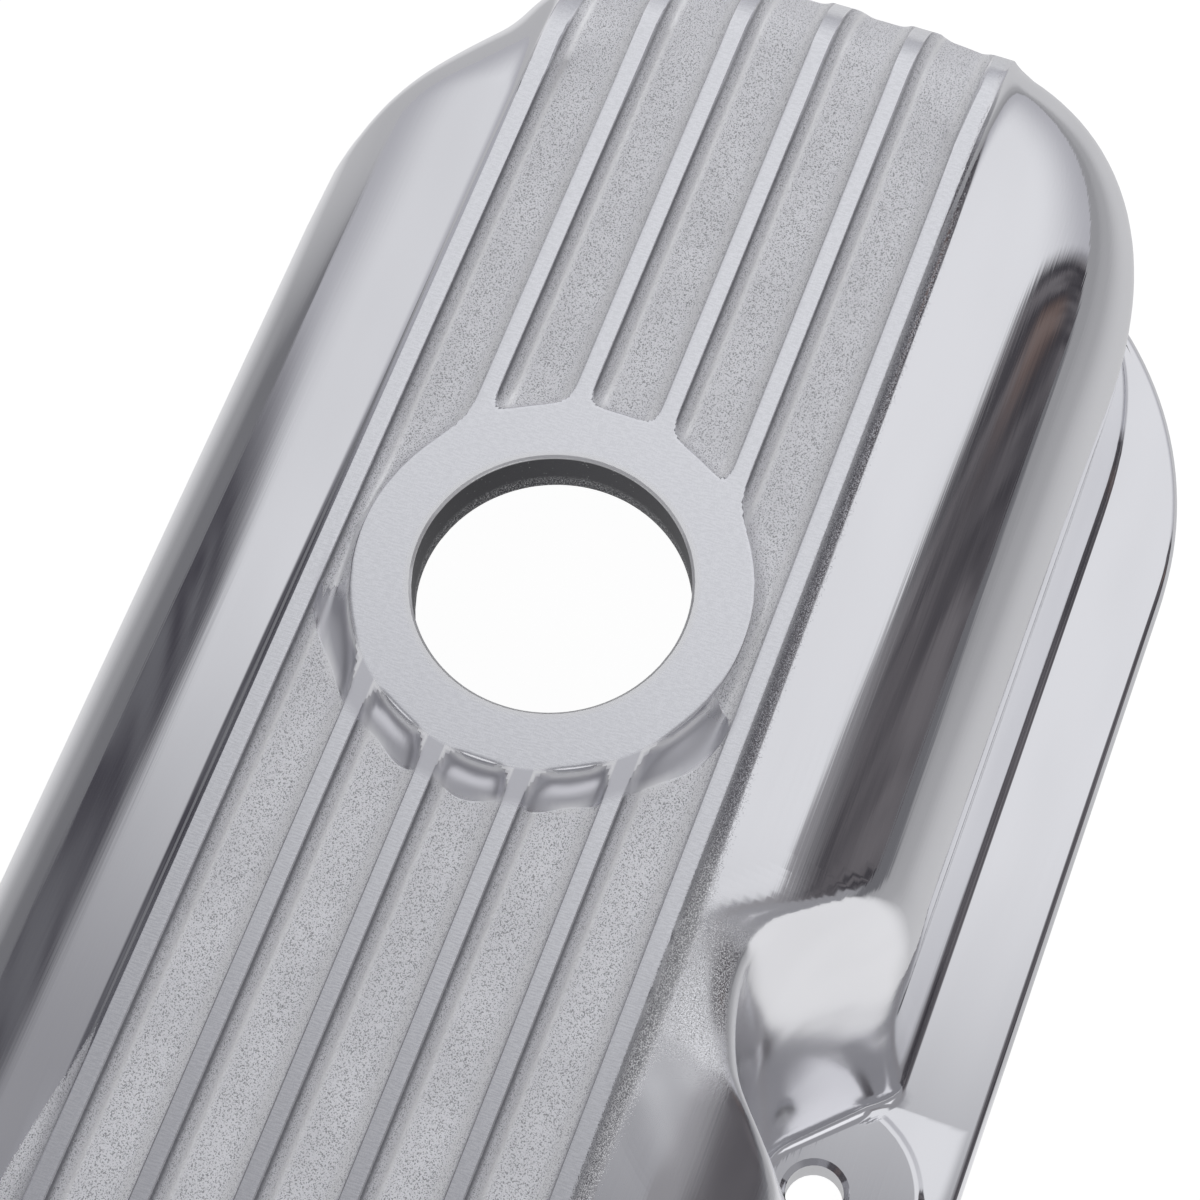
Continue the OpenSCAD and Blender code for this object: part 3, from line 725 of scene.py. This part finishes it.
# hand-polished waves in the right pockets and on the left side, and the sandy rim of the right pockets
right_pocket = ramp(24 - to_right, 0, 6) * ramp(z_all, 5, 8)
left_waves = 0.8 * peak(side_x, 74, 9) * ramp(rel_y, 40, 46) * ramp(z_all, 15, 20)
pocket_rim = np.where((rel_y < -28) & (z_all > 51.5), np.exp(-((side_x - 86) / 8) ** 4), 0.0)
# masks that carry painted light: fin feet, fill, lips and chamfer are painted highlights, fin walls and the
# dark strip painted shade, and the bore's mask sets where its painted glints fall
masks = {
    "sand": np.clip(sand, -FAR, FAR),
    "soft": np.where(between, 0.0, np.where(rel_y < 0, 0.8, 0.15)),
    "rim": pocket_rim * outer,
    "top": top_share * outer,
    "foot": foot * fin_zone,
    "end": near_end * ramp(to_ring, -0.2, 0.3) * ramp(4.6 - to_ring, 0, 1) * outer,
    "lip_highlight": np.clip(lips, 0, 1) * near_end * ramp(fin_side, -0.05, 0.1),
    # painted light: the fillet on the +Y side of each fin is painted white to lift the shade that falls in
    # the corner
    "fill": peak(fin_side, 0.9, 0.7) * (rel_y > near_fin) * between * fin_zone,
    "dark": strip_shade * outer,
    "wall": fin_wall_shade * ramp(to_ring, 0, 0.5) * fin_zone,
    "satin": (rel_y > half_fins) * ramp(beside_left, -0.6, 0.2) * outer,
    "chamfer": outer * ramp(BORE_R + CHAMFER + 0.1 - RING_R - to_ring, 0, 0.1),
    "raw": in_cavity * ramp(z_all, 0.05, 0.5),
    # the bore's mask rises towards the bore's lower edge, where the painted glints fall
    "bore": in_bore * (0.6 + 0.4 * ramp(51.8 - z_all, 0, 1.5)),
    "hand": np.maximum(right_pocket, left_waves) * outer,
}
for name, values in masks.items():
    mesh.attributes.new(name, "FLOAT", "POINT").data.foreach_set("value", np.asarray(values, np.float32))
mesh.polygons.foreach_set("use_smooth", np.ones(len(mesh.polygons), bool))
SHARP_DEGREES = 38
mesh.set_sharp_from_angle(angle=math.radians(SHARP_DEGREES))
scene = bpy.context.scene
cover = bpy.data.objects.new("cover_casting_skin", mesh)
scene.collection.objects.link(cover)

# camera: lens in mm, place in mm and its axes as solved from the photo
SENSOR, LENS, CAMERA_PLACE = 36, 108.237, (-33.945, -72.611, 423.22)
cam_data = bpy.data.cameras.new("camera")
cam_data.sensor_width = SENSOR
cam_data.lens = LENS
cam_data.clip_start, cam_data.clip_end = 0.01, 20
camera = bpy.data.objects.new("camera", cam_data)
scene.collection.objects.link(camera)
scene.camera = camera
right = Vector((0.347377, -0.937341, -0.026867))
up = Vector((0.852370, 0.303684, 0.425724))
back = Vector((-0.390889, -0.170787, 0.904454))
place = Matrix((right, up, back)).transposed().to_4x4()
place.translation = Vector(CAMERA_PLACE) * MM
camera.matrix_world = place


class Tree:
    """Short calls for making nodes and links in one node tree."""

    def __init__(self, tree):
        self.tree = tree

    def node(self, kind, *inputs, **values):
        """A new node with its properties set and its first inputs filled; None leaves an input as it is."""
        n = self.tree.nodes.new(kind)
        for k, v in values.items():
            setattr(n, k, v)
        for socket, v in zip(n.inputs, inputs):
            self.plug(socket, v)
        return n

    def plug(self, socket, value):
        if hasattr(value, "is_output"):
            self.tree.links.new(value, socket)
        elif value is not None:
            socket.default_value = value

    def math(self, op, a, b=None, c=None, clamp=False):
        return self.node("ShaderNodeMath", a, b, c, operation=op, use_clamp=clamp).outputs[0]

    def step(self, v, low, high, out_low=0.0, out_high=1.0):
        """A smooth change from out_low below low to out_high above high."""
        ends = (low, high, out_low, out_high)
        return self.node("ShaderNodeMapRange", v, *ends, interpolation_type="SMOOTHSTEP").outputs[0]

    def fall(self, v, low, high):
        """1 below low and 0 above high."""
        return self.step(v, low, high, 1.0, 0.0)

    def mix(self, share, a, b):
        n = self.node("ShaderNodeMix", share, data_type="RGBA")
        self.plug(n.inputs[6], a)
        self.plug(n.inputs[7], b)
        return n.outputs[2]

    def blend(self, share, a, b):
        return self.node("ShaderNodeMix", share, None, a, b, data_type="FLOAT").outputs[0]

    def scaled(self, vector, x, y, z):
        """The vector times (x, y, z); with coordinates in metres 1000 gives millimetres."""
        return self.node("ShaderNodeVectorMath", vector, (x, y, z), operation="MULTIPLY").outputs[0]

    def noise(self, vector, scale, detail=2.0, rough=0.5, distortion=0.0):
        n = self.node("ShaderNodeTexNoise", vector)
        values = {"Scale": scale, "Detail": detail, "Roughness": rough, "Distortion": distortion}
        for key, v in values.items():
            n.inputs[key].default_value = v
        return n.outputs["Fac"]

    def product(self, *factors):
        """The product of two or more numbers or sockets."""
        out = factors[0]
        for v in factors[1:]:
            out = self.math("MULTIPLY", out, v)
        return out

    def most(self, *values):
        """The largest of two or more numbers or sockets."""
        out = values[0]
        for v in values[1:]:
            out = self.math("MAXIMUM", out, v)
        return out

    def window(self, v, ends, soft):
        """1 between the two ends and 0 outside, each end softened by its own width."""
        return self.product(self.step(v, ends[0] - soft[0], ends[0] + soft[0]),
                            self.fall(v, ends[1] - soft[1], ends[1] + soft[1]))

    def mask(self, name):
        return self.node("ShaderNodeAttribute", attribute_name=name).outputs["Fac"]


def emptied(owner):
    """Short calls on the node tree of a new material or world, with no node left in it."""
    owner.use_nodes = True
    owner.node_tree.nodes.clear()
    return Tree(owner.node_tree)


def shared(name, outputs, fill):
    """A node group with the input Place in millimetres and number outputs, filled by a function."""
    g = bpy.data.node_groups.new(name, "ShaderNodeTree")
    g.interface.new_socket("Place", in_out="INPUT", socket_type="NodeSocketVector")
    for o in outputs:
        g.interface.new_socket(o, in_out="OUTPUT", socket_type="NodeSocketFloat")
    t = Tree(g)
    start, end = t.node("NodeGroupInput"), t.node("NodeGroupOutput")
    for o, v in zip(outputs, fill(t, start.outputs[0])):
        t.plug(end.inputs[o], v)
    return g


CELLS_PER_MM = 2.4


def grain(t, place):
    """Cast skin: small pits and bumps, a slow change of tone and painted glints on single grains."""
    height = t.noise(place, 6.5, 1.0, 0.6)
    tone = t.noise(place, 0.09, 1.0, 0.5)
    cells = t.node("ShaderNodeTexVoronoi", place)
    cells.inputs["Scale"].default_value = CELLS_PER_MM
    pick = t.node("ShaderNodeSeparateColor", cells.outputs["Color"]).outputs[0]
    # painted glints: bright dots on single grains that stand in for the sparkle of the cast skin
    glint = t.product(t.fall(cells.outputs["Distance"], 0.10, 0.20), t.step(pick, 0.55, 0.95))
    return height, tone, glint


def brushing(t, place):
    """Polishing marks: fine lines along the cover, cloudy patches and slow waves of the hand-worked skin."""
    lines = t.noise(t.scaled(place, 0.05, 3.0, 3.0), 1.0, 1.0, 0.6)
    clouds = t.noise(t.scaled(place, 0.03, 0.10, 0.10), 1.0, 1.0, 0.6)
    waves = t.noise(t.scaled(place, 0.11, 0.15, 0.15), 1.0, 0.0, 0.4, 0.3)
    return lines, clouds, waves


def machining(t, place):
    """Cutter marks: fine crossing arcs on the flat tops."""
    a = t.noise(t.scaled(place, 2.4, 6.5, 1.0), 1.0, 1.0, 0.6)
    b = t.noise(t.scaled(place, 5.0, 1.1, 1.0), 1.0, 0.0, 0.6)
    return (t.math("ADD", t.product(a, 0.5), t.product(b, 0.5)),)


GRAIN = shared("cast grain", ("Height", "Tone", "Glint"), grain)
BRUSH = shared("polishing marks", ("Lines", "Clouds", "Waves"), brushing)
CUTS = shared("cutter marks", ("Height",), machining)


# metal
WHITE = (1.0, 1.0, 1.0, 1)
POLISHED, POLISHED_CLOUD = (0.81, 0.81, 0.83, 1), (0.78, 0.78, 0.80, 1)
MILLED_LOW, MILLED_HIGH = (0.74, 0.745, 0.77, 1), (0.80, 0.805, 0.83, 1)
# the chamfer's colour below is a painted highlight
SLOPE, SATIN, CHAMFER_HIGHLIGHT = (0.66, 0.66, 0.69, 1), (0.60, 0.60, 0.64, 1), (0.9, 0.9, 0.9, 1)
CAST, CAST_PALE, PIT = (0.90, 0.90, 0.92, 1), (0.96, 0.96, 0.98, 1), (0.20, 0.20, 0.21, 1)
# the fins' wall colour below is painted shade
SPECKLED, FIN_WALL_SHADE, INSIDE = (0.30, 0.30, 0.31, 1), (0.30, 0.30, 0.32, 1), (0.34, 0.34, 0.35, 1)
# the far strip's colours below are painted shade and its painted glints
STRIP_SHADE, STRIP_GLINT = (0.15, 0.15, 0.17, 1), (0.75, 0.75, 0.78, 1)
# the bore's colours below: a dark wall, partly rough cast and partly painted shade, and its painted glints
BORE_DARK, BORE_GLINT = (0.12, 0.12, 0.13, 1), (0.8, 0.8, 0.8, 1)


class Skin:
    """The fields that the metal's colour, gloss, height and dullness are made from."""

    def __init__(self, t):
        place = t.scaled(t.node("ShaderNodeTexCoord").outputs["Object"], 1000, 1000, 1000)
        self.grain, self.tone, self.glint = self.use(t, GRAIN, place)
        self.lines, self.clouds, self.waves = self.use(t, BRUSH, place)
        self.cuts = self.use(t, CUTS, place)[0]
        self.grit = t.noise(place, 7.0, 1.0, 0.6)
        self.mask = {name: t.mask(name) for name in masks}
        self.cast = self.cast_share(t)
        self.in_bore = t.step(self.mask["bore"], 0.0, 0.5)
        # painted glints in the lower part of the bore
        self.bore_glints = t.product(t.step(self.mask["bore"], 0.62, 0.95), t.step(self.grit, 0.54, 0.60))

    def use(self, t, group, place):
        """The outputs of a node group at the place."""
        return t.node("ShaderNodeGroup", place, node_tree=group).outputs

    def cast_share(self, t):
        """1 on cast skin: the sand mask with an edge 0.16 mm wide, frayed by grit where soft, the inside and
        the grains on the pocket rim."""
        m = self.mask
        fray = t.product(t.math("SUBTRACT", self.grit, 0.5), t.product(m["soft"], 5.0))
        sanded = t.math("ADD", t.math("DIVIDE", t.math("ADD", m["sand"], fray), 0.16), 0.5, clamp=True)
        return t.most(sanded, m["raw"], t.product(m["rim"], t.step(self.grit, 0.50, 0.56)))


def cast_colour(t, f):
    """Pale sand-cast skin with dark pits and painted glints on single grains: a painted highlight at the feet
    of the fins, painted light in their fillets, painted shade on their walls and in the far strip, speckled
    strips, darker inside the cover."""
    m = f.mask
    cast = t.mix(t.step(f.tone, 0.3, 0.7), CAST, CAST_PALE)
    # painted light in the fillets beside the fins
    cast = t.mix(m["fill"], cast, WHITE)
    # speckle of dark grains with white painted glints, where the cast edge is soft
    speckled = t.mix(t.step(f.grit, 0.44, 0.58), SPECKLED, WHITE)
    cast = t.mix(t.math("MULTIPLY", m["soft"], 1.1, clamp=True), cast, speckled)
    # painted shade on the walls of the fins
    cast = t.mix(m["wall"], cast, FIN_WALL_SHADE)
    cast = t.mix(t.step(f.grain, 0.30, 0.52), t.mix(0.8, cast, PIT), cast)
    # painted highlight along the feet of the fins
    cast = t.mix(m["foot"], cast, WHITE)
    cast = t.mix(t.product(m["raw"], 0.7), cast, INSIDE)
    # painted shade in the far strip, with painted glints on single grains
    cast = t.mix(m["dark"], cast, t.mix(t.step(f.grit, 0.50, 0.60), STRIP_SHADE, STRIP_GLINT))
    # painted glints: single grains painted white
    return t.mix(f.glint, cast, WHITE)


def skin_colour(t, f):
    """Polished body, milled tops, slopes and satin left strip, cast skin, painted highlights on the lips and
    the chamfer, and the bore wall, dark partly from painted shade, with painted glints.
    """
    m = f.mask
    polished = t.mix(t.step(f.clouds, 0.35, 0.7), POLISHED, POLISHED_CLOUD)
    tops = t.mix(t.step(f.cuts, 0.35, 0.65), MILLED_LOW, MILLED_HIGH)
    colour = t.mix(m["top"], polished, tops)
    colour = t.mix(m["end"], colour, SLOPE)
    colour = t.mix(t.product(m["satin"], 0.5), colour, SATIN)
    colour = t.mix(f.cast, colour, cast_colour(t, f))
    # painted highlight on the lips
    colour = t.mix(m["lip_highlight"], colour, WHITE)
    # painted highlight on the bore's chamfer
    colour = t.mix(m["chamfer"], colour, CHAMFER_HIGHLIGHT)
    # the bore wall: dark, partly rough cast and partly painted shade, with painted glints
    colour = t.mix(f.in_bore, colour, t.mix(t.product(f.glint, 0.8), BORE_DARK, BORE_GLINT))
    # painted glints in the bore's lower part
    return t.mix(f.bore_glints, colour, WHITE)


def skin_gloss(t, f):
    """Roughness: low on the polished body, higher where it is hand-worked, milled or cast."""
    m = f.mask
    gloss = t.blend(t.step(f.clouds, 0.3, 0.75), 0.045, 0.085)
    gloss = t.math("ADD", gloss, t.product(t.math("SUBTRACT", f.lines, 0.5), 0.08))
    gloss = t.blend(t.product(m["hand"], 0.8), gloss, 0.20)
    gloss = t.blend(m["top"], gloss, 0.22)
    gloss = t.blend(m["end"], gloss, 0.34)
    gloss = t.blend(m["satin"], gloss, 0.24)
    gloss = t.blend(f.cast, gloss, t.blend(t.most(f.glint, m["foot"]), 0.48, 0.30))
    return t.blend(f.in_bore, gloss, 0.55)


def skin_height(t, f):
    """Height for the bump in units of 1 mm: polishing lines, hand waves, cutter marks and cast grain."""
    m = f.mask
    height = t.product(f.lines, 0.006)
    height = t.math("ADD", height, t.product(f.waves, t.product(m["hand"], 0.10)))
    height = t.math("ADD", height, t.product(f.cuts, t.product(m["top"], 0.006)))
    return t.blend(t.most(f.cast, m["bore"]), height, t.product(f.grain, 0.06))


def skin_dull(t, f):
    """Share of the surface that scatters light like an oxide skin instead of shining like metal; it also
    makes the painted light of the fillets, glints, lips, chamfer and bore specks bright from every side.
    """
    m = f.mask
    dull = t.blend(m["fill"], t.blend(m["foot"], t.blend(m["dark"], 0.5, 0.1), 0.1), 0.95)
    dull = t.product(f.cast, t.most(dull, f.glint))
    dull = t.most(dull, t.product(m["chamfer"], 0.6), t.product(m["lip_highlight"], 0.9))
    return t.most(dull, t.most(f.bore_glints, t.product(m["bore"], 0.06)))


def aluminium():
    """The one metal of the casting: polished, milled, sand-cast and rough inside, chosen by the masks."""
    metal = bpy.data.materials.new("polished and cast aluminium")
    t = emptied(metal)
    fields = Skin(t)
    bump = t.node("ShaderNodeBump")
    bump.inputs["Strength"].default_value = 1.0
    bump.inputs["Distance"].default_value = MM
    t.plug(bump.inputs["Height"], skin_height(t, fields))
    skin = t.node("ShaderNodeBsdfPrincipled")
    t.plug(skin.inputs["Base Color"], skin_colour(t, fields))
    t.plug(skin.inputs["Metallic"], t.math("SUBTRACT", 1.0, skin_dull(t, fields)))
    t.plug(skin.inputs["Roughness"], skin_gloss(t, fields))
    t.plug(skin.inputs["Normal"], bump.outputs[0])
    t.node("ShaderNodeOutputMaterial", skin.outputs[0])
    return metal


mesh.materials.append(aluminium())


# world: azimuth from +X towards +Y and polar angle from straight up, both in degrees
SKY_HIGH, SKY_LEFT, SKY_LOW = (0.86, 0.865, 0.89, 1), (0.70, 0.705, 0.73, 1), (0.51, 0.51, 0.545, 1)
SKY_NEAR, SCREEN_TOP, BEHIND = (0.33, 0.33, 0.35, 1), (0.32, 0.315, 0.33, 1), (0.24, 0.24, 0.26, 1)
CLOTH_DARK, CLOTH_PALE, STREAK = (0.055, 0.052, 0.06, 1), (0.165, 0.155, 0.165, 1), (0.21, 0.14, 0.115, 1)
LEFT_DARK, LEFT_PALE, LAMP = (0.065, 0.062, 0.075, 1), (0.15, 0.15, 0.165, 1), (1.0, 1.0, 1.03, 1)


class Directions:
    """The direction of a ray in the world: its azimuth, its polar angle and its x share dx."""

    def __init__(self, w):
        ray = w.node("ShaderNodeTexCoord").outputs["Generated"]
        self.dx, dy, dz = w.node("ShaderNodeSeparateXYZ", ray).outputs
        self.azimuth = w.product(w.math("ARCTAN2", dy, self.dx), 180 / math.pi)
        self.polar = w.product(w.math("ARCCOSINE", dz), 180 / math.pi)

    def folds(self, w):
        """Noise that changes with the azimuth and hardly with the polar angle, like hanging cloth."""
        turned = w.node("ShaderNodeCombineXYZ", w.product(self.azimuth, 0.55), w.product(self.polar, 0.03))
        return w.noise(turned.outputs[0], 1.0, 2.0, 0.6)

    def patch(self, w, az, th, soft_az, soft_th):
        """A rectangle of directions with soft edges, from 0 outside to 1 inside."""
        return w.product(w.window(self.azimuth, az, soft_az), w.window(self.polar, th, soft_th))


def right_screen(w, d, folds):
    """Share and colour of the dark cloth beside the right side. Its edge leans by 0.27 degrees of azimuth for
    each degree above the polar angle 64, and its top fades to grey."""
    above = w.most(w.math("SUBTRACT", 64.0, d.polar), 0.0)
    edge = w.math("SUBTRACT", -51.8, w.product(above, 0.27))
    past = w.math("SUBTRACT", d.azimuth, edge)
    share = w.product(w.fall(past, -2.2, 1.4), d.patch(w, (-79.5, 0), (14, 93), (1.5, 1), (6, 0.6)))
    cloth = w.mix(w.step(folds, 0.36, 0.64), CLOTH_DARK, CLOTH_PALE)
    streak = w.product(d.patch(w, (-60, -57.5), (68, 82), (0.8, 0.8), (5, 5)), 0.55)
    cloth = w.mix(streak, cloth, STREAK)
    return share, w.mix(w.step(d.polar, 42, 60), SCREEN_TOP, cloth)


def studio():
    """Soft pale light from above, a dark screen on each side for the polished sides, white for the camera."""
    world = bpy.data.worlds.new("studio")
    w = emptied(world)
    d = Directions(w)
    low = w.step(d.polar, 56, 90)
    sky = w.mix(low, SKY_HIGH, SKY_LOW)
    sky = w.mix(w.product(w.step(d.azimuth, 22, 44), 0.5), sky, w.mix(low, SKY_LEFT, SKY_LOW))
    sky = w.mix(w.step(d.dx, 0.22, 0.375), SKY_NEAR, sky)
    folds = d.folds(w)
    share, cloth = right_screen(w, d, folds)
    sky = w.mix(share, sky, cloth)
    left_cloth = w.mix(w.step(folds, 0.36, 0.64), LEFT_DARK, LEFT_PALE)
    sky = w.mix(d.patch(w, (65.8, 105), (60, 112), (2.2, 4), (8, 10)), sky, left_cloth)
    behind = w.product(w.fall(d.dx, -0.75, -0.45), w.window(d.polar, (40, 84), (6, 6)))
    sky = w.mix(behind, sky, BEHIND)
    lamp = w.product(w.fall(d.dx, -0.26, -0.14), w.step(d.dx, -0.66, -0.54))
    sky = w.mix(w.product(lamp, w.fall(d.polar, 50, 60)), sky, LAMP)
    seen = w.node("ShaderNodeLightPath").outputs["Is Camera Ray"]
    light = w.node("ShaderNodeBackground", w.mix(seen, sky, WHITE))
    w.node("ShaderNodeOutputWorld", light.outputs[0])
    return world


scene.world = studio()


# floor: pale paper, seen as white, with the object's soft shadow
# the paper's colour for glossy rays below, and its glows close to the cover and beyond it, are a painted
# reflection: the paper glows for glossy rays only
PAPER, PAPER_GLOSSY, PAPER_SEEN = (0.72, 0.72, 0.75, 1), (0.30, 0.30, 0.31, 1), (0.13, 0.13, 0.133, 1)
SEEN_GLOW, CLOSE_GLOW, BEYOND_GLOW = 0.97, 0.72, 0.36


def reflected_paper(t):
    """Painted reflection: the glow that the polished sides see in the paper, by its place in metres: bright
    close to the cover, darker further out and on the left, with a painted shade to the right of the far end."""
    place = t.node("ShaderNodeTexCoord").outputs["Object"]
    x, y, _ = t.node("ShaderNodeSeparateXYZ", place).outputs
    away = t.node("ShaderNodeVectorMath", place, operation="LENGTH")
    close = t.product(t.fall(x, 0.094, 0.130), t.fall(y, -0.055, -0.045))
    turn = t.product(t.math("ARCTAN2", y, x), 180 / math.pi)
    shade = t.product(t.step(turn, -80, -77), t.fall(turn, -56, -52))
    shade = t.product(shade, t.step(away.outputs["Value"], 0.28, 0.38))
    right = t.math("ADD", t.step(y, -0.150, -0.070, 0.26, 0.46), t.step(y, -0.330, -0.150, -0.08, 0.0))
    right = t.product(right, t.math("SUBTRACT", 1.0, shade))
    left = t.product(t.step(y, 0.070, 0.135, 0.58, 0.20), t.step(y, 0.135, 0.260, 1.0, 0.15))
    beyond = t.step(t.math("SUBTRACT", x, t.product(y, 0.53)), 0.09, 0.16)
    left = t.most(left, t.product(beyond, BEYOND_GLOW))
    level = t.blend(t.step(y, -0.03, 0.03), right, left)
    return t.most(t.product(close, CLOSE_GLOW), level)


def pale_paper():
    """Matt paper that the camera sees as white; for glossy rays it is darker and glows in a painted pattern,
    a painted reflection in the polished metal.
    """
    paper = bpy.data.materials.new("pale paper")
    t = emptied(paper)
    rays = t.node("ShaderNodeLightPath")
    camera_ray, glossy_ray = rays.outputs["Is Camera Ray"], rays.outputs["Is Glossy Ray"]
    seen = t.most(camera_ray, rays.outputs["Is Transmission Ray"])
    colour = t.mix(camera_ray, t.mix(glossy_ray, PAPER, PAPER_GLOSSY), PAPER_SEEN)
    reflected = t.product(glossy_ray, reflected_paper(t))
    diffuse = t.node("ShaderNodeBsdfDiffuse", colour)
    glow = t.node("ShaderNodeEmission", WHITE, t.most(t.product(seen, SEEN_GLOW), reflected))
    both = t.node("ShaderNodeAddShader", diffuse.outputs[0], glow.outputs[0])
    t.node("ShaderNodeOutputMaterial", both.outputs[0])
    return paper


FLOOR_HALF = 3.0
floor_corners = [(x * FLOOR_HALF, y * FLOOR_HALF, 0) for x, y in ((-1, -1), (1, -1), (1, 1), (-1, 1))]
floor_mesh = bpy.data.meshes.new("floor")
floor_mesh.from_pydata(floor_corners, [], [(0, 1, 2, 3)])
floor = bpy.data.objects.new("floor", floor_mesh)
scene.collection.objects.link(floor)
floor_mesh.materials.append(pale_paper())

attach(cover, "root")
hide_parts("cover_casting")
scene.view_settings.view_transform = "Standard"
